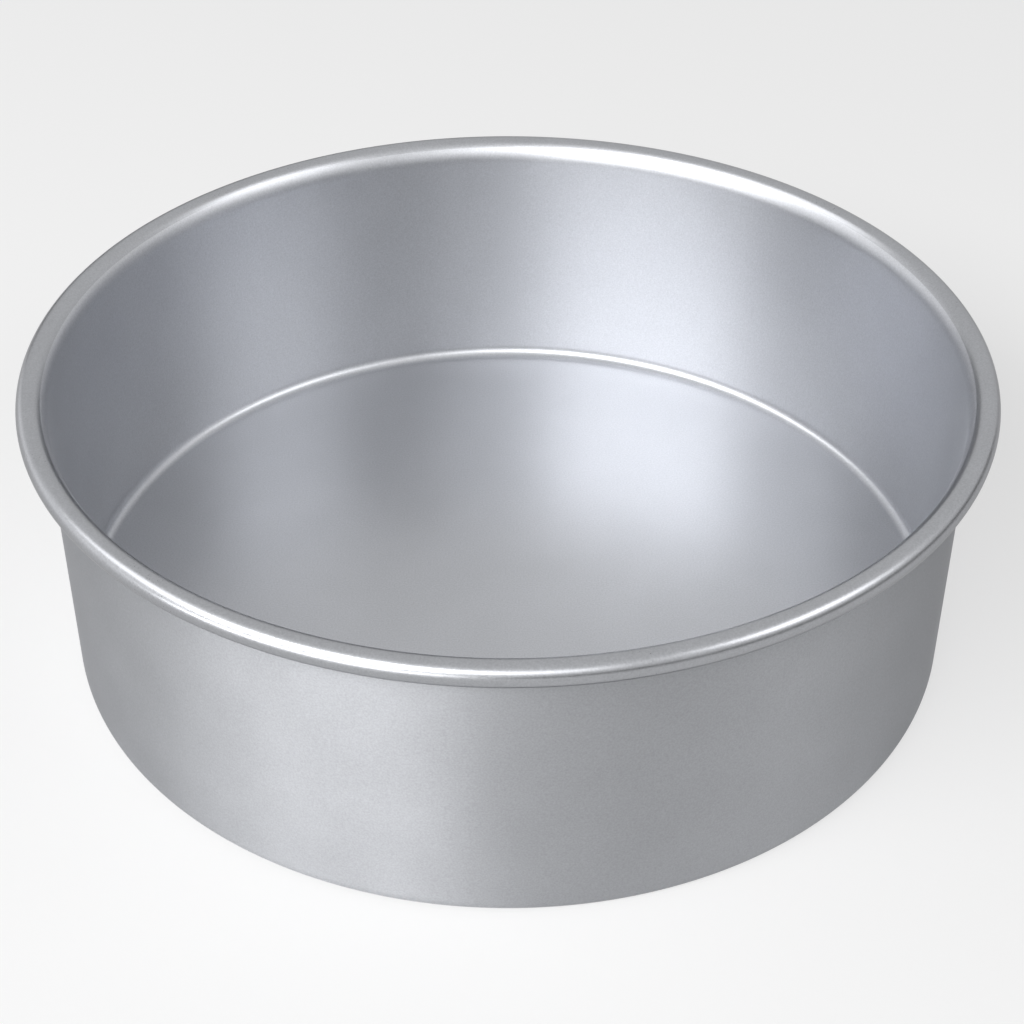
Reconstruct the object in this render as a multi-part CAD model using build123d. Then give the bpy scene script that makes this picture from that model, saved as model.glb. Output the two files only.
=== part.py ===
from build123d import *
import os
from math import acos, cos, degrees, radians, sin

# Round cake tin with straight sides. Lengths in millimetres, angles in degrees, +Z up.
# The origin is the middle of the plane that the tin stands on.

# Driving sizes of the whole tin
inside_diameter = 228.6
overall_height = 78.6
sheet = 1.0

# Base and foot
base_lift = 4.4
corner_radius = 3.0
foot_width = 2.6
foot_round_width = 1.8
foot_round_height = 3.2
foot_edge_radius = 0.3
recess_corner_radius = 1.0

# Rolled rim and the wire inside it
wire_diameter = 3.9
wire_clearance = 0.1
wire_end_gap = 0.5
shoulder_radius = 7.5
shoulder_turn = 45.0
rim_edge_gap = 0.15

# The wall stands upright between the corner and the shoulder.
inside_radius = inside_diameter / 2
outside_radius = inside_radius + sheet
base_top = base_lift + sheet
foot_inside_radius = outside_radius - foot_width

# The bead is a round roll of the sheet. The shoulder turns the wall outwards and runs into it
# without a crease, so both arcs have one normal where they meet.
bead_radius = wire_diameter / 2 + wire_clearance + sheet
bead_bore_radius = bead_radius - sheet
bead_height = overall_height - bead_radius
turn_cos = cos(radians(shoulder_turn))
turn_sin = sin(radians(shoulder_turn))
shoulder_centre_radius = inside_radius + shoulder_radius
bead_centre_radius = shoulder_centre_radius - (shoulder_radius - bead_radius) * turn_cos
shoulder_start = bead_height - (shoulder_radius - bead_radius) * turn_sin

# The roll ends a small gap short of the shoulder's outer face. The triangle between the two
# centres and the roll's end gives the angle, by the law of cosines.
centre_distance = shoulder_radius - bead_radius
reach = shoulder_radius - sheet - rim_edge_gap
end_cos = (centre_distance**2 + bead_radius**2 - reach**2) / (2 * centre_distance * bead_radius)
roll_start = 180 - shoulder_turn
roll_end = -shoulder_turn - degrees(acos(end_cos))


def on_bead(radius, angle):
    """Point of the section round the bead's centre, at an angle counted from the outward direction."""
    across = bead_centre_radius + radius * cos(radians(angle))
    up = bead_height + radius * sin(radians(angle))
    return across, up


def make_pan_body():
    """Base, foot, wall, shoulder and rolled bead as one turned solid.

    The base, the wall and the bead have the sheet's thickness. The foot is a thicker ring.
    """
    bead_centre = (bead_centre_radius, bead_height)
    shoulder_centre = (shoulder_centre_radius, shoulder_start)
    roll_turn = roll_end - roll_start
    with BuildPart() as body:
        with BuildSketch(Plane.XZ):
            with BuildLine():
                # Underside, from the middle to the inner side of the foot
                recess_edge = foot_inside_radius - recess_corner_radius
                recess_foot = base_lift - recess_corner_radius
                Line((0, base_lift), (recess_edge, base_lift))
                CenterArc((recess_edge, recess_foot), recess_corner_radius, 90, -90)
                Line((foot_inside_radius, recess_foot), (foot_inside_radius, foot_edge_radius))
                # Foot: a small inner round, the standing edge and a taller outer round
                foot_edge = foot_inside_radius + foot_edge_radius
                foot_round = outside_radius - foot_round_width
                CenterArc((foot_edge, foot_edge_radius), foot_edge_radius, 180, 90)
                Line((foot_edge, 0), (foot_round, 0))
                EllipticalCenterArc(
                    (foot_round, foot_round_height),
                    foot_round_width,
                    foot_round_height,
                    start_angle=270,
                    arc_size=90,
                )
                # Outer face of the wall and of the shoulder
                Line((outside_radius, foot_round_height), (outside_radius, shoulder_start))
                CenterArc(shoulder_centre, shoulder_radius - sheet, 180, -shoulder_turn)
                # Bore of the bead, its cut edge, and back round its outer face
                CenterArc(bead_centre, bead_bore_radius, roll_start, roll_turn)
                Line(on_bead(bead_bore_radius, roll_end), on_bead(bead_radius, roll_end))
                CenterArc(bead_centre, bead_radius, roll_end, -roll_turn)
                # Inner face of the shoulder and of the wall, the corner and the base
                CenterArc(shoulder_centre, shoulder_radius, roll_start, shoulder_turn)
                corner_centre = (inside_radius - corner_radius, base_top + corner_radius)
                Line((inside_radius, shoulder_start), (inside_radius, base_top + corner_radius))
                CenterArc(corner_centre, corner_radius, 0, -90)
                Line((inside_radius - corner_radius, base_top), (0, base_top))
                Line((0, base_top), (0, base_lift))
            make_face()
        revolve(axis=Axis.Z)
    return body.part


def make_rim_wire():
    """Wire ring inside the bead. Its two ends meet at the back with a small gap."""
    gap_angle = degrees(wire_end_gap / bead_centre_radius)
    with BuildPart() as wire:
        with BuildSketch(Plane.YZ):
            with Locations((bead_centre_radius, bead_height)):
                Circle(wire_diameter / 2)
        revolve(axis=Axis.Z, revolution_arc=360 - gap_angle)
    return wire.part


nodes = {
    "pan_body": make_pan_body(),
    "rim_wire": make_rim_wire(),
}

os.makedirs("parts", exist_ok=True)
for name, solid in nodes.items():
    export_step(solid, f"parts/{name}.step")
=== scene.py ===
"""Round cake tin: the visual pieces, their finish and the studio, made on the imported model."""

import math

import bpy
import numpy as np
from bpy.props import FloatProperty, FloatVectorProperty, IntProperty, PointerProperty
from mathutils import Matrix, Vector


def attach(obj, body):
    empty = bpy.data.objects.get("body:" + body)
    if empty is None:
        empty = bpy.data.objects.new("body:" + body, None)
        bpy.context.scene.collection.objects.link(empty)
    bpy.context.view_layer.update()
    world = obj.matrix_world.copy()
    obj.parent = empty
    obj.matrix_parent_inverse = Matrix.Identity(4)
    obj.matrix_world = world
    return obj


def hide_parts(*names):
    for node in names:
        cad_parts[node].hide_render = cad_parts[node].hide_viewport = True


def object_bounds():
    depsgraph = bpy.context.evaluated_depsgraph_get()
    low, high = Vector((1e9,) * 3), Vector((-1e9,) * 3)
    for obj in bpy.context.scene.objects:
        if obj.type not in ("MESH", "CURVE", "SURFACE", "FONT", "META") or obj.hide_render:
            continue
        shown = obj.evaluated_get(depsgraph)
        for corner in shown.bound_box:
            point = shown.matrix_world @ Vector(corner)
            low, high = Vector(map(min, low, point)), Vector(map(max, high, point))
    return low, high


bl_info = {
    "name": "Round Cake Tin",
    "version": (1, 0, 0),
    "blender": (4, 5, 0),
    "location": "3D View > Sidebar > Cake Tin",
    "description": "Makes a deep round cake tin with a wired rim, its satin finish and a studio",
    "category": "Add Mesh",
}

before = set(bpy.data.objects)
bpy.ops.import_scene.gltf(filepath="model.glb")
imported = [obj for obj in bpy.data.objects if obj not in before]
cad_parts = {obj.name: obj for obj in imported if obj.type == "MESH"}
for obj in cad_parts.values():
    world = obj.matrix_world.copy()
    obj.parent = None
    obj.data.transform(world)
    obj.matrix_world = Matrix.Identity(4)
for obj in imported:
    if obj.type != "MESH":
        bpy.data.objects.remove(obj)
cad_low, cad_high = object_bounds()

MM = 0.001
SENSOR_WIDTH = 36.0
EDGE_TEXT = "How much of its shine the metal keeps at a slant"
STRETCH_TEXT = "How far it draws a highlight upright"

# Each zone of the sheet has its own finish: the base with the foot's underside, the rolled bead,
# the wall's inner face with the shoulder, and its outer face. Each zone's colour is also made
# lighter or darker by a painted shading multiple, which stands in for how the light falls on it.
ZONES = ("base", "bend", "inside", "outside")

# Points of a section closer than this are one point, in metres.
SAME_POINT = 1e-7
# The fan that closes the base starts at this share of its radius.
FAN_SHARE = 0.02
# How much of the shoulder has the bead's finish, with the bead's painted shade.
BEAD_ZONE_SHARE = 0.2

# Usual span of a noise value, which is carried to the span that a finish needs.
NOISE_SPAN = (0.25, 0.75)
GRAIN_TONES = (0.9, 1.1)
CLOUD_TONES = (0.97, 1.03)
GRAIN_ROUGHNESS = 0.02
CLOUD_ROUGHNESS = 0.015
BUMP_STRENGTH = 0.5
WIRE_MARK_SIZE = 1.5 * MM
WIRE_TONES = (0.85, 1.1)
WIRE_ROUGHNESS = (-0.06, 0.1)
# Quarter of a turn, which draws a highlight along the axis.
UPRIGHT = 0.25

# The wire's ring: points round the wire and along it, and the rounding of its ends, with its
# points and its share of the wire's radius.
WIRE_AROUND = 28
WIRE_ALONG = 321
WIRE_END_STEPS = 6
WIRE_END_ROUNDING = 0.2

# Lights and cards stand round the tin, in metres and degrees. Azimuth goes from the camera's
# side towards the right. A light has its azimuth, elevation, width and height, and a card the
# azimuths of its two ends.
FLOOR_HALF = 4.0
LIGHT_DISTANCE = 2.0
LIGHTS = {
    "key_light": (-40, 40, 46, 20),
    "left_light": (-90, 40, 31, 20),
    "front_light": (5, 40, 23, 20),
    "right_light": (70, 40, 31, 20),
    "low_light": (-40, 6, 60, 12),
    "side_light": (-105, 10, 70, 20),
}
CARD_DISTANCE = 1.6
CARD_TOP = 10.0
CARD_STEPS = 24
CARDS = {"right_card": (-8.0, 125.0), "left_card": (-180.0, -140.0)}


def length(label, text, millimetres):
    """A length that a user may change, kept in metres."""
    return FloatProperty(
        name=label,
        description=text,
        default=millimetres * MM,
        min=0.0,
        precision=5,
        unit="LENGTH",
        subtype="DISTANCE",
    )


def angle(label, text, degrees):
    """An angle that a user may change, kept in radians."""
    return FloatProperty(
        name=label,
        description=text,
        default=math.radians(degrees),
        unit="ROTATION",
        subtype="ANGLE",
    )


def share(label, text, value):
    """A share between nothing and all of it."""
    return FloatProperty(
        name=label, description=text, default=value, min=0.0, max=1.0, subtype="FACTOR"
    )


def painted_shading(label, text, value):
    """A multiple of the pan's colour, which paints light or shade into one zone of the tin."""
    return FloatProperty(name=label, description=text, default=value, min=0.0, max=2.0)


def brightness(label, text, value):
    """How bright a soft light's face is, where one is the render's white."""
    return FloatProperty(name=label, description=text, default=value, min=0.0)


def colour(label, text, value):
    """A colour in linear light."""
    return FloatVectorProperty(
        name=label, description=text, default=value, min=0.0, max=1.0, subtype="COLOR"
    )


class CakeTinSizes(bpy.types.PropertyGroup):
    """Sizes of the tin's section and of the wire in its rim."""

    overall_height: FloatProperty(
        name="Overall height",
        description="From the standing plane to the top of the rim",
        default=cad_high.z - cad_low.z,
        unit="LENGTH",
        subtype="DISTANCE",
    )
    inside_diameter: length("Inside diameter", "Across the inside of the wall", 228.6)
    sheet: length("Sheet", "Thickness of the metal sheet", 1.0)
    base_lift: length("Base lift", "Underside of the base above the standing plane", 4.4)
    corner_radius: length("Corner radius", "Inner corner between base and wall", 3.0)
    foot_width: length("Foot width", "Width of the ring that the tin stands on", 2.6)
    foot_round_width: length("Foot round width", "Outer round of the foot, across", 1.8)
    foot_round_height: length("Foot round height", "Outer round of the foot, upwards", 3.2)
    foot_edge_radius: length("Foot edge radius", "Inner edge of the foot", 0.3)
    recess_corner_radius: length("Recess corner radius", "Corner under the base", 1.0)
    wire_diameter: length("Wire diameter", "Wire that the rim is rolled round", 3.9)
    wire_clearance: length("Wire clearance", "Room between the wire and the roll", 0.1)
    wire_end_gap: length("Wire end gap", "Gap between the two ends of the wire", 0.5)
    shoulder_radius: length("Shoulder radius", "Bend that turns the wall outwards", 7.5)
    shoulder_turn: angle("Shoulder turn", "How far the shoulder turns", 45.0)
    rim_edge_gap: length("Rim edge gap", "From the roll's cut edge to the shoulder", 0.15)
    cut_edge_radius: length("Cut edge radius", "Rounding of the roll's cut edge", 0.3)
    around: IntProperty(
        name="Steps around",
        description="Faces in one turn round the tin",
        default=360,
        min=24,
    )


class CakeTinFinish(bpy.types.PropertyGroup):
    """Colours and grain of the two metals, and the painted light or shade of each zone of the
    tin.
    """

    pan_colour: colour("Pan colour", "Satin aluminium", (0.412, 0.42, 0.44))
    base_roughness: share("Base roughness", "Satin finish of the base", 0.36)
    # Painted light and shade: these multiples make the base and the wall's inner face lighter,
    # and the bead and the wall's outer face darker, in place of light and shade.
    base_tone: painted_shading("Base tone", "Brightness of the base", 1.12)
    bend_roughness: share("Bend roughness", "Burnished bead", 0.3)
    bend_tone: painted_shading("Bend tone", "Brightness of the bead", 0.92)
    bend_edge: share("Bend edge", EDGE_TEXT, 0.7)
    inside_roughness: share("Inside roughness", "Inner face of the wall", 0.4)
    inside_stretch: share("Inside stretch", STRETCH_TEXT, 0.4)
    inside_tone: painted_shading("Inside tone", "Brightness of the wall's inner face", 1.22)
    outside_roughness: share("Outside roughness", "Outer face of the wall", 0.45)
    outside_stretch: share("Outside stretch", STRETCH_TEXT, 0.85)
    outside_tone: painted_shading("Outside tone", "Brightness of the wall's outer face", 0.94)
    outside_edge: share("Outside edge", EDGE_TEXT, 0.5)
    grain_size: length("Grain size", "Size of the finish's fine grain", 0.45)
    grain_depth: length("Grain depth", "Depth of the finish's fine grain", 0.012)
    cloud_size: length("Cloud size", "Size of the finish's faint clouds", 22.0)
    wire_colour: colour("Wire colour", "Drawn steel wire", (0.36, 0.36, 0.365))
    wire_roughness: share("Wire roughness", "Roughness of the drawn wire", 0.3)


class CakeTinStudio(bpy.types.PropertyGroup):
    """Camera, floor and lights."""

    focal_length: FloatProperty(
        name="Focal length",
        description="In image sides, which is lens over sensor width",
        default=1.9528,
    )
    camera_back: length("Camera distance", "In front of the tin's axis", 425.8)
    camera_height: length("Camera height", "Above the standing plane", 346.8)
    camera_tilt: angle("Camera tilt", "Down from level", 36.84)
    image_shift: FloatProperty(
        name="Image shift",
        description="Sideways shift in image sides",
        default=0.0038,
    )
    floor_colour: colour("Floor colour", "Plain pale floor", (0.3, 0.3, 0.3))
    world_light: FloatProperty(
        name="World light",
        description="Strength of the even light from all sides",
        default=0.1,
        min=0.0,
    )
    background: share("Background", "Strength of the pale backdrop, where one is white", 0.9)
    floor_glow: share("Floor glow", "Lifts the pale floor to white where it is seen", 0.6)
    key_light: brightness("Key light", "High soft light at the left front", 9.7)
    left_light: brightness("Left light", "High soft light at the left", 2.4)
    front_light: brightness("Front light", "High soft light above the camera", 2.4)
    right_light: brightness("Right light", "High soft light at the right", 3.2)
    low_light: brightness("Low light", "Soft light near the floor at the left front", 5.5)
    side_light: brightness("Side light", "Soft light near the floor at the left", 0.5)
    card_shade: share("Card shade", "Colour of the two low dark cards", 0.03)


def arc(centre, radius, start, end, steps, height=None):
    """Points of an arc in the section plane.

    Centre plus radius times the cosine across and radius, or height on an ellipse, times the
    sine upwards, at even steps from the start angle to the end angle in degrees.
    """
    turn = np.radians(np.linspace(start, end, steps + 1))
    rise = radius if height is None else height
    across = centre[0] + radius * np.cos(turn)
    up = centre[1] + rise * np.sin(turn)
    return np.column_stack([across, up])


def run(start, end, steps):
    """Points of a straight run: start plus even shares of the way to the end."""
    part = np.linspace(0.0, 1.0, steps + 1)[:, None]
    return np.array(start) * (1.0 - part) + np.array(end) * part


def joined(*pieces):
    """The points of a section's pieces without those that they share, and each run's zone.

    A piece is a zone's name and its points. Run i goes from point i to point i + 1.
    """
    points = np.vstack([part for _, part in pieces])
    zones = np.concatenate([[ZONES.index(zone)] * len(part) for zone, part in pieces])
    step = np.linalg.norm(np.diff(points, axis=0), axis=1)
    keep = np.concatenate([[True], step > SAME_POINT])
    return points[keep], zones[keep][1:]


def bead_place(size):
    """The bead's outer radius and its centre in the section.

    The shoulder's centre lies its radius outside the wall. The bead's centre lies on the way
    back from it, at the shoulder's turn, by the difference of the two radii.
    """
    bead = size.wire_diameter / 2 + size.wire_clearance + size.sheet
    shoulder_across = size.inside_diameter / 2 + size.shoulder_radius
    apart = size.shoulder_radius - bead
    across = shoulder_across - apart * math.cos(size.shoulder_turn)
    return bead, (across, size.overall_height - bead)


def tin_section(size):
    """Closed section of the tin, from the middle of the underside to the middle of the base.

    It follows the underside, the foot, the wall's outer face, the shoulder, the bore and the
    outside of the rolled bead, the wall's inner face, the corner and the base.
    """
    inside = size.inside_diameter / 2
    outside = inside + size.sheet
    base_top = size.base_lift + size.sheet

    # The roll ends a small gap short of the shoulder's outer face. The triangle between the two
    # centres and the roll's end gives its angle, by the law of cosines.
    bead, bead_centre = bead_place(size)
    bore = bead - size.sheet
    turn = math.degrees(size.shoulder_turn)
    apart = size.shoulder_radius - bead
    shoulder_start = bead_centre[1] - apart * math.sin(size.shoulder_turn)
    shoulder_centre = (inside + size.shoulder_radius, shoulder_start)
    reach = size.shoulder_radius - size.sheet - size.rim_edge_gap
    end_cos = (apart**2 + bead**2 - reach**2) / (2 * apart * bead)
    roll_start = 180 - turn
    roll_end = -turn - math.degrees(math.acos(end_cos))
    bead_zone_end = roll_start + BEAD_ZONE_SHARE * turn

    foot_inside = outside - size.foot_width
    recess_across = foot_inside - size.recess_corner_radius
    recess_up = size.base_lift - size.recess_corner_radius
    edge = size.foot_edge_radius
    edge_across = foot_inside + edge
    round_across = outside - size.foot_round_width
    foot_centre = (round_across, size.foot_round_height)
    corner = size.corner_radius
    corner_centre = (inside - corner, base_top + corner)

    # The roll's cut edge is rounded on both sides.
    cut = size.cut_edge_radius
    inner_cut = math.degrees(cut / (bore + cut))
    outer_cut = math.degrees(cut / (bead - cut))
    inner_centre = on_circle(bead_centre, bore + cut, roll_end + inner_cut)
    outer_centre = on_circle(bead_centre, bead - cut, roll_end + outer_cut)
    middle = roll_end + 90

    return joined(
        (
            "base",
            run((recess_across * FAN_SHARE, size.base_lift), (recess_across, size.base_lift), 12),
        ),
        ("base", arc((recess_across, recess_up), size.recess_corner_radius, 90, 0, 8)),
        ("base", arc((edge_across, edge), edge, 180, 270, 5)),
        (
            "outside",
            arc(foot_centre, size.foot_round_width, 270, 360, 14, height=size.foot_round_height),
        ),
        ("outside", run((outside, size.foot_round_height), (outside, shoulder_start), 10)),
        ("bend", arc(shoulder_centre, size.shoulder_radius - size.sheet, 180, roll_start, 10)),
        ("bend", arc(bead_centre, bore, roll_start, roll_end + inner_cut, 40)),
        ("bend", arc(inner_centre, cut, middle + 90, middle + 180, 4)),
        ("bend", arc(outer_centre, cut, middle + 180, middle + 270, 4)),
        ("bend", arc(bead_centre, bead, roll_end + outer_cut, roll_start, 64)),
        # The bead's zone, with its finish and painted shade, reaches this far up the shoulder.
        ("bend", arc(shoulder_centre, size.shoulder_radius, roll_start, bead_zone_end, 3)),
        ("inside", arc(shoulder_centre, size.shoulder_radius, bead_zone_end, 180, 11)),
        ("inside", run((inside, shoulder_start), (inside, base_top + corner), 10)),
        ("inside", arc(corner_centre, corner, 0, -30, 5)),
        ("base", arc(corner_centre, corner, -30, -90, 10)),
        ("base", run((inside - corner, base_top), (inside * FAN_SHARE, base_top), 14)),
    )


def on_circle(centre, radius, degrees):
    """The point of a circle at that angle."""
    turn = math.radians(degrees)
    return centre[0] + radius * math.cos(turn), centre[1] + radius * math.sin(turn)


def turned_surface(section, around):
    """Vertices and faces of the section carried once round the upright axis.

    A section point (r, z) at turn t lies at (r cos t, r sin t, z). The grid of quads closes on
    itself, and a fan closes the surface at the axis at each end of the section.
    """
    turn = np.linspace(0.0, 2 * math.pi, around, endpoint=False)
    rows = len(section)
    across, up = section[:, 0], section[:, 1]
    grid = np.empty((rows, around, 3))
    grid[..., 0] = across[:, None] * np.cos(turn)
    grid[..., 1] = across[:, None] * np.sin(turn)
    grid[..., 2] = up[:, None]
    poles = np.array([[0.0, 0.0, up[0]], [0.0, 0.0, up[-1]]])
    vertices = np.vstack([grid.reshape(-1, 3), poles])

    index = np.arange(rows * around).reshape(rows, around)
    nxt = np.roll(index, -1, axis=1)
    quads = np.stack([index[:-1], nxt[:-1], nxt[1:], index[1:]], axis=-1).reshape(-1, 4)
    first = np.full(around, rows * around)
    last = first + 1
    start_fan = np.column_stack([first, nxt[0], index[0]])
    end_fan = np.column_stack([last, index[-1], nxt[-1]])
    faces = quads.tolist() + start_fan.tolist() + end_fan.tolist()
    return vertices, faces


def carried_tube(centre_radius, centre_height, section, start, sweep, steps):
    """Vertices and faces of a round bar carried along part of a level circle.

    Row i of the section has a radius and a way back along the bar, so the two ends are
    rounded off; a point at turn t and section angle a lies at
    ((c + q cos a) cos t, (c + q cos a) sin t, h + q sin a) with bar radius q.
    """
    turns, radii = section
    angle_round = np.linspace(0.0, 2 * math.pi, steps, endpoint=False)
    turn = start + sweep * turns
    across = centre_radius + radii[:, None] * np.cos(angle_round)
    grid = np.empty((len(turn), steps, 3))
    grid[..., 0] = across * np.cos(turn)[:, None]
    grid[..., 1] = across * np.sin(turn)[:, None]
    grid[..., 2] = centre_height + radii[:, None] * np.sin(angle_round)
    ends = np.array(
        [
            [centre_radius * math.cos(t), centre_radius * math.sin(t), centre_height]
            for t in (turn[0], turn[-1])
        ]
    )
    vertices = np.vstack([grid.reshape(-1, 3), ends])
    index = np.arange(len(turn) * steps).reshape(len(turn), steps)
    nxt = np.roll(index, -1, axis=1)
    quads = np.stack([index[:-1], index[1:], nxt[1:], nxt[:-1]], axis=-1).reshape(-1, 4)
    first = np.full(steps, len(turn) * steps)
    last = first + 1
    start_fan = np.column_stack([first, index[0], nxt[0]])
    end_fan = np.column_stack([last, nxt[-1], index[-1]])
    faces = quads.tolist() + start_fan.tolist() + end_fan.tolist()
    return vertices, faces


def new_piece(name, vertices, faces, materials, node):
    """A smooth-shaded mesh object that rides on the root body and stands for a CAD node."""
    mesh = bpy.data.meshes.new(name)
    mesh.from_pydata(vertices.tolist(), [], faces)
    if mesh.validate():
        raise RuntimeError(f"{name} has faults in its faces")
    mesh.shade_smooth()
    for material in materials:
        mesh.materials.append(material)
    piece = bpy.data.objects.new(name, mesh)
    bpy.context.scene.collection.objects.link(piece)
    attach(piece, "root")
    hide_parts(node)
    return piece


class NodeBuilder:
    """Short calls to add and join a material's nodes."""

    def __init__(self, tree):
        self.tree = tree
        tree.nodes.clear()

    def add(self, kind, **values):
        node = self.tree.nodes.new(kind)
        for key, value in values.items():
            setattr(node, key, value)
        return node

    def join(self, start, end):
        self.tree.links.new(start, end)

    def surface(self, shader):
        """Make that shader the material's surface."""
        self.join(shader, self.add("ShaderNodeOutputMaterial").inputs["Surface"])


def new_material(name):
    """An empty material and the calls that fill it."""
    material = bpy.data.materials.new(name)
    material.use_nodes = True
    return material, NodeBuilder(material.node_tree)


def metal(build):
    """A bare metal's shader."""
    shader = build.add("ShaderNodeBsdfPrincipled")
    shader.inputs["Metallic"].default_value = 1.0
    return shader


def noise(build, coordinates, size, detail):
    """Noise whose features are about that size in metres."""
    node = build.add("ShaderNodeTexNoise")
    node.inputs["Scale"].default_value = 1.0 / size
    node.inputs["Detail"].default_value = detail
    build.join(coordinates, node.inputs["Vector"])
    return node.outputs["Fac"]


def spread(build, value, low, high):
    """A noise value carried from its usual span to the span from low to high."""
    node = build.add("ShaderNodeMapRange")
    node.inputs["From Min"].default_value, node.inputs["From Max"].default_value = NOISE_SPAN
    node.inputs["To Min"].default_value = low
    node.inputs["To Max"].default_value = high
    build.join(value, node.inputs["Value"])
    return node.outputs["Result"]


def mottled(build, plain, mottle, shader):
    """The shader's colour: a plain colour times a mottle that is about one."""
    mixed = build.add("ShaderNodeMixRGB", blend_type="MULTIPLY")
    mixed.inputs["Fac"].default_value = 1.0
    mixed.inputs["Color1"].default_value = (*plain, 1.0)
    build.join(mottle, mixed.inputs["Color2"])
    build.join(mixed.outputs["Color"], shader.inputs["Base Color"])


def combined(build, operation, first, second):
    """Two values put together by that operation."""
    node = build.add("ShaderNodeMath", operation=operation)
    build.join(first, node.inputs[0])
    build.join(second, node.inputs[1])
    return node.outputs["Value"]


def satin_aluminium(finish, zone):
    """Satin aluminium: fine even grain in bump, colour and roughness, and faint clouds.

    The wall's fine marks run round the tin, so they stretch a highlight upright. Each zone's
    colour is multiplied by its painted light or shade.
    """
    roughness = getattr(finish, f"{zone}_roughness")
    stretch = getattr(finish, f"{zone}_stretch", 0.0)
    # Painted light or shade: the zone's colour is made lighter or darker for how the light falls
    # on it.
    bright = getattr(finish, f"{zone}_tone")
    edge = getattr(finish, f"{zone}_edge", 1.0)
    material, build = new_material(f"satin_aluminium_{zone}")
    coordinates = build.add("ShaderNodeTexCoord").outputs["Object"]
    shader = metal(build)
    shader.inputs["Specular Tint"].default_value = (edge, edge, edge, 1.0)
    grain = noise(build, coordinates, finish.grain_size, 2.0)
    clouds = noise(build, coordinates, finish.cloud_size, 3.0)

    grain_tone = spread(build, grain, *GRAIN_TONES)
    cloud_tone = spread(build, clouds, *CLOUD_TONES)
    # The plain colour carries the zone's painted light or shade.
    plain = [bright * channel for channel in finish.pan_colour]
    mottled(build, plain, combined(build, "MULTIPLY", grain_tone, cloud_tone), shader)

    cloud_rough = spread(build, clouds, roughness - CLOUD_ROUGHNESS, roughness + CLOUD_ROUGHNESS)
    grain_rough = spread(build, grain, -GRAIN_ROUGHNESS, GRAIN_ROUGHNESS)
    rough = combined(build, "ADD", cloud_rough, grain_rough)
    build.join(rough, shader.inputs["Roughness"])

    bump = build.add("ShaderNodeBump")
    bump.inputs["Strength"].default_value = BUMP_STRENGTH
    bump.inputs["Distance"].default_value = finish.grain_depth
    build.join(grain, bump.inputs["Height"])
    build.join(bump.outputs["Normal"], shader.inputs["Normal"])

    if stretch:
        shader.inputs["Anisotropic"].default_value = stretch
        shader.inputs["Anisotropic Rotation"].default_value = UPRIGHT
        around = build.add("ShaderNodeTangent", direction_type="RADIAL", axis="Z")
        build.join(around.outputs["Tangent"], shader.inputs["Tangent"])

    build.surface(shader.outputs["BSDF"])
    return material


def drawn_steel(finish):
    """Drawn steel wire: grey steel with faint marks."""
    material, build = new_material("drawn_steel")
    coordinates = build.add("ShaderNodeTexCoord").outputs["Object"]
    shader = metal(build)
    marks = noise(build, coordinates, WIRE_MARK_SIZE, 4.0)
    mottled(build, finish.wire_colour, spread(build, marks, *WIRE_TONES), shader)
    low, high = (finish.wire_roughness + step for step in WIRE_ROUGHNESS)
    build.join(spread(build, marks, low, high), shader.inputs["Roughness"])
    build.surface(shader.outputs["BSDF"])
    return material


def background_rays(build):
    """One for camera, glossy and transmission rays, nothing for the rest."""
    ray = build.add("ShaderNodeLightPath").outputs
    seen = combined(build, "MAXIMUM", ray["Is Camera Ray"], ray["Is Glossy Ray"])
    return combined(build, "MAXIMUM", seen, ray["Is Transmission Ray"])


def plain_background(build, strength):
    """White light from all sides at that strength."""
    light = build.add("ShaderNodeBackground")
    light.inputs["Strength"].default_value = strength
    light.inputs["Color"].default_value = (1.0, 1.0, 1.0, 1.0)
    return light.outputs["Background"]


def white_world(studio):
    """Even light from all sides, and a pale background where the rays show it."""
    world = bpy.data.worlds.new("studio_world")
    world.use_nodes = True
    # Reflections then see this world itself, with nothing added for its light.
    world.cycles.sampling_method = "NONE"
    build = NodeBuilder(world.node_tree)
    mix = build.add("ShaderNodeMixShader")
    build.join(background_rays(build), mix.inputs["Fac"])
    build.join(plain_background(build, studio.world_light), mix.inputs[1])
    build.join(plain_background(build, studio.background), mix.inputs[2])
    output = build.add("ShaderNodeOutputWorld")
    build.join(mix.outputs["Shader"], output.inputs["Surface"])
    return world


def floor_material(studio):
    """Plain pale matt floor. From below it lets the view through."""
    material, build = new_material("pale_floor")
    matt = build.add("ShaderNodeBsdfDiffuse")
    matt.inputs["Color"].default_value = (*studio.floor_colour, 1.0)
    white = build.add("ShaderNodeEmission")
    strength = build.add("ShaderNodeMath", operation="MULTIPLY")
    strength.inputs[1].default_value = studio.floor_glow
    build.join(background_rays(build), strength.inputs[0])
    build.join(strength.outputs["Value"], white.inputs["Strength"])
    lit = build.add("ShaderNodeAddShader")
    build.join(matt.outputs["BSDF"], lit.inputs[0])
    build.join(white.outputs["Emission"], lit.inputs[1])
    clear = build.add("ShaderNodeBsdfTransparent")
    geometry = build.add("ShaderNodeNewGeometry")
    mix = build.add("ShaderNodeMixShader")
    build.join(geometry.outputs["Backfacing"], mix.inputs["Fac"])
    build.join(lit.outputs["Shader"], mix.inputs[1])
    build.join(clear.outputs["BSDF"], mix.inputs[2])
    build.surface(mix.outputs["Shader"])
    return material


def towards(azimuth, elevation):
    """Unit vector from the tin. Azimuth goes from the camera's side towards the right."""
    a, e = math.radians(azimuth), math.radians(elevation)
    return np.array([math.sin(a) * math.cos(e), -math.cos(a) * math.cos(e), math.sin(e)])


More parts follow.
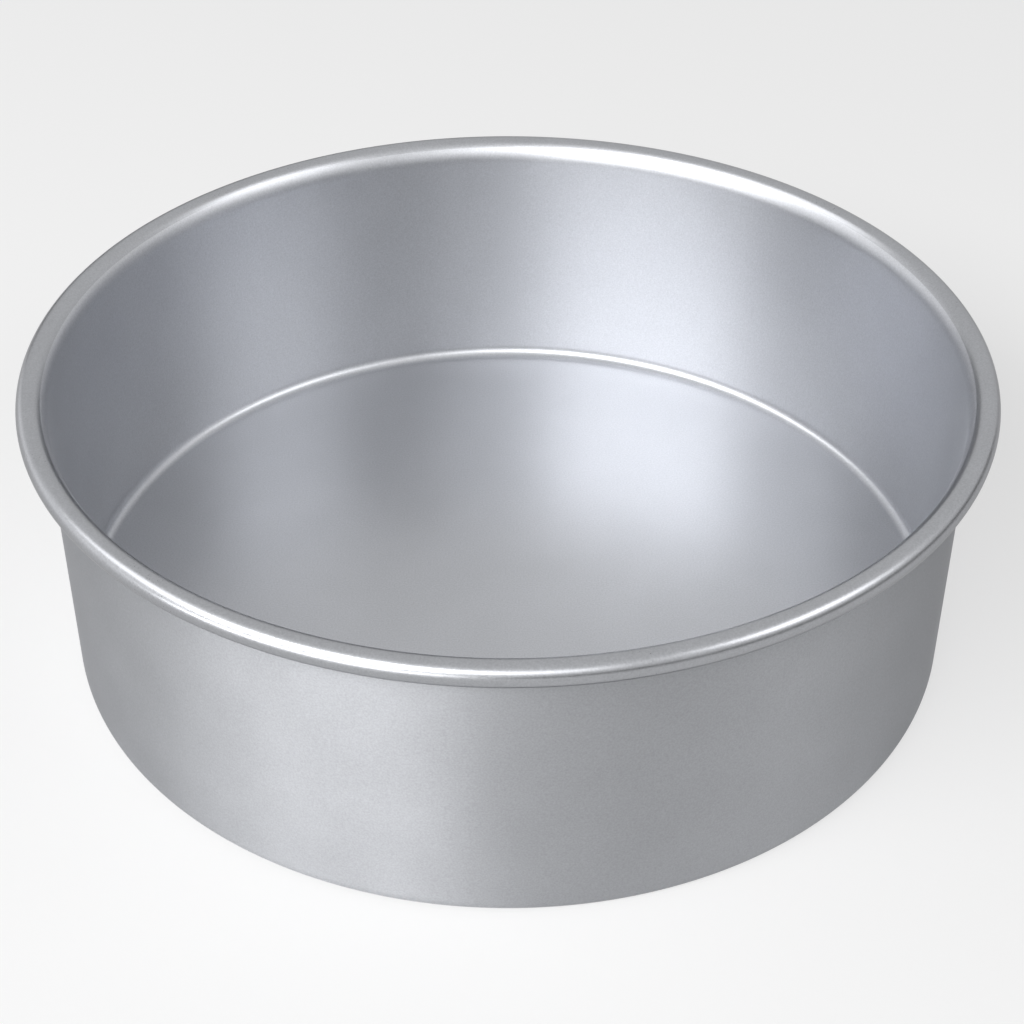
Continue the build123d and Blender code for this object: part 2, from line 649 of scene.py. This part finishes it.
def soft_light(name, azimuth, elevation, wide, high, bright):
    """A rectangular soft light that faces the tin and spans those angles as the tin sees it."""
    data = bpy.data.lights.new(name, "AREA")
    data.shape = "RECTANGLE"
    data.size = 2 * LIGHT_DISTANCE * math.tan(math.radians(wide / 2))
    data.size_y = 2 * LIGHT_DISTANCE * math.tan(math.radians(high / 2))
    # A face of brightness one gives off pi watts for each square metre.
    data.energy = bright * math.pi * data.size * data.size_y
    light = bpy.data.objects.new(name, data)
    bpy.context.scene.collection.objects.link(light)
    light.location = LIGHT_DISTANCE * towards(azimuth, elevation)
    light.rotation_euler = (math.pi / 2 - math.radians(elevation), 0.0, math.radians(azimuth))
    light.visible_camera = False
    return light


def dark_card(name, start, end, shade):
    """A low dark card that stands on the floor, round the tin from one azimuth to the other.

    It is a strip of a cylinder about the tin's axis: the circle's points at two heights.
    """
    azimuths = np.linspace(start, end, CARD_STEPS + 1)
    bottom = CARD_DISTANCE * np.array([towards(azimuth, 0.0) for azimuth in azimuths])
    top = bottom.copy()
    top[:, 2] = CARD_DISTANCE * math.tan(math.radians(CARD_TOP))
    row = len(azimuths)
    faces = [(i, i + 1, row + i + 1, row + i) for i in range(CARD_STEPS)]
    mesh = bpy.data.meshes.new(name)
    mesh.from_pydata(np.vstack([bottom, top]).tolist(), [], faces)
    material, build = new_material(name)
    matt = build.add("ShaderNodeBsdfDiffuse")
    matt.inputs["Color"].default_value = (shade, shade, shade, 1.0)
    build.surface(matt.outputs["BSDF"])
    mesh.materials.append(material)
    card = bpy.data.objects.new(name, mesh)
    bpy.context.scene.collection.objects.link(card)
    card.visible_camera = False
    return card


class PanBodyOperator(bpy.types.Operator):
    """Make the tin's body: base, foot, wall, shoulder and rolled bead"""

    bl_idname = "cake_tin.pan_body"
    bl_label = "Pan Body"

    def execute(self, context):
        scene = context.scene
        size, finish = scene.cake_tin_sizes, scene.cake_tin_finish
        section, zones = tin_section(size)
        vertices, faces = turned_surface(section, size.around)
        # The four zone materials are one satin aluminium with different roughness and stretch,
        # each also with its own painted light or shade.
        materials = [satin_aluminium(finish, zone) for zone in ZONES]
        piece = new_piece("tin_body", vertices, faces, materials, "pan_body")
        # The two fans at the axis belong to the base.
        fans = np.full(2 * size.around, ZONES.index("base"))
        zone_of_face = np.concatenate([np.repeat(zones, size.around), fans])
        piece.data.polygons.foreach_set("material_index", zone_of_face.astype(np.int32))
        return {"FINISHED"}


class RimWireOperator(bpy.types.Operator):
    """Make the wire ring inside the rolled bead"""

    bl_idname = "cake_tin.rim_wire"
    bl_label = "Rim Wire"

    def execute(self, context):
        size = context.scene.cake_tin_sizes
        radius = size.wire_diameter / 2
        _, (across, height) = bead_place(size)
        sweep = 2 * math.pi - size.wire_end_gap / across

        # The ends are rounded: near an end the radius follows a quarter of a circle.
        easing = np.linspace(0.0, math.pi / 2, WIRE_END_STEPS)
        rounding = radius * WIRE_END_ROUNDING
        back = rounding * (1 - np.sin(easing)) / across / sweep
        end_radii = radius - rounding * (1 - np.cos(easing))
        end = rounding / across / sweep
        along = np.linspace(end, 1 - end, WIRE_ALONG)[1:-1]
        turns = np.concatenate([back[::-1], along, 1 - back])
        radii = np.concatenate([end_radii[::-1], np.full(len(along), radius), end_radii])

        # The joint lies at the back.
        start = math.pi / 2
        section = turns, radii
        vertices, faces = carried_tube(across, height, section, start, sweep, WIRE_AROUND)
        material = drawn_steel(context.scene.cake_tin_finish)
        new_piece("rim_wire_ring", vertices, faces, [material], "rim_wire")
        return {"FINISHED"}


class StudioOperator(bpy.types.Operator):
    """Make the camera, the floor, the world and the soft lights"""

    bl_idname = "cake_tin.studio"
    bl_label = "Studio"

    def execute(self, context):
        scene = context.scene
        studio = scene.cake_tin_studio
        scene.view_settings.view_transform = "Standard"
        scene.world = white_world(studio)

        lens = bpy.data.cameras.new("camera")
        lens.sensor_width = SENSOR_WIDTH
        lens.lens = studio.focal_length * SENSOR_WIDTH
        lens.shift_x = studio.image_shift
        lens.clip_start, lens.clip_end = 0.01, 50.0
        camera = bpy.data.objects.new("camera", lens)
        camera.location = (0.0, -studio.camera_back, studio.camera_height)
        camera.rotation_euler = (math.pi / 2 - studio.camera_tilt, 0.0, 0.0)
        scene.collection.objects.link(camera)
        scene.camera = camera

        half = FLOOR_HALF
        mesh = bpy.data.meshes.new("floor")
        corners = [(-half, -half, 0), (half, -half, 0), (half, half, 0), (-half, half, 0)]
        mesh.from_pydata(corners, [], [(0, 1, 2, 3)])
        mesh.materials.append(floor_material(studio))
        floor = bpy.data.objects.new("floor", mesh)
        scene.collection.objects.link(floor)

        for name, place in LIGHTS.items():
            soft_light(name, *place, getattr(studio, name))
        for name, ends in CARDS.items():
            dark_card(name, *ends, studio.card_shade)
        return {"FINISHED"}


class CakeTinPanel(bpy.types.Panel):
    """Sizes, finish, studio and the operators that make them"""

    bl_idname = "VIEW3D_PT_cake_tin"
    bl_label = "Cake Tin"
    bl_space_type = "VIEW_3D"
    bl_region_type = "UI"
    bl_category = "Cake Tin"

    def draw(self, context):
        scene = context.scene
        for group in (scene.cake_tin_sizes, scene.cake_tin_finish, scene.cake_tin_studio):
            box = self.layout.box()
            for name in group.__annotations__:
                box.prop(group, name)
        for operator in OPERATORS:
            self.layout.operator(operator.bl_idname)


OPERATORS = (PanBodyOperator, RimWireOperator, StudioOperator)
CLASSES = (CakeTinSizes, CakeTinFinish, CakeTinStudio, *OPERATORS, CakeTinPanel)


def register():
    for cls in CLASSES:
        bpy.utils.register_class(cls)
    bpy.types.Scene.cake_tin_sizes = PointerProperty(type=CakeTinSizes)
    bpy.types.Scene.cake_tin_finish = PointerProperty(type=CakeTinFinish)
    bpy.types.Scene.cake_tin_studio = PointerProperty(type=CakeTinStudio)


def unregister():
    del bpy.types.Scene.cake_tin_studio
    del bpy.types.Scene.cake_tin_finish
    del bpy.types.Scene.cake_tin_sizes
    for cls in reversed(CLASSES):
        bpy.utils.unregister_class(cls)


def main():
    register()
    bpy.ops.cake_tin.pan_body()
    bpy.ops.cake_tin.rim_wire()
    bpy.ops.cake_tin.studio()


if __name__ == "__main__":
    main()
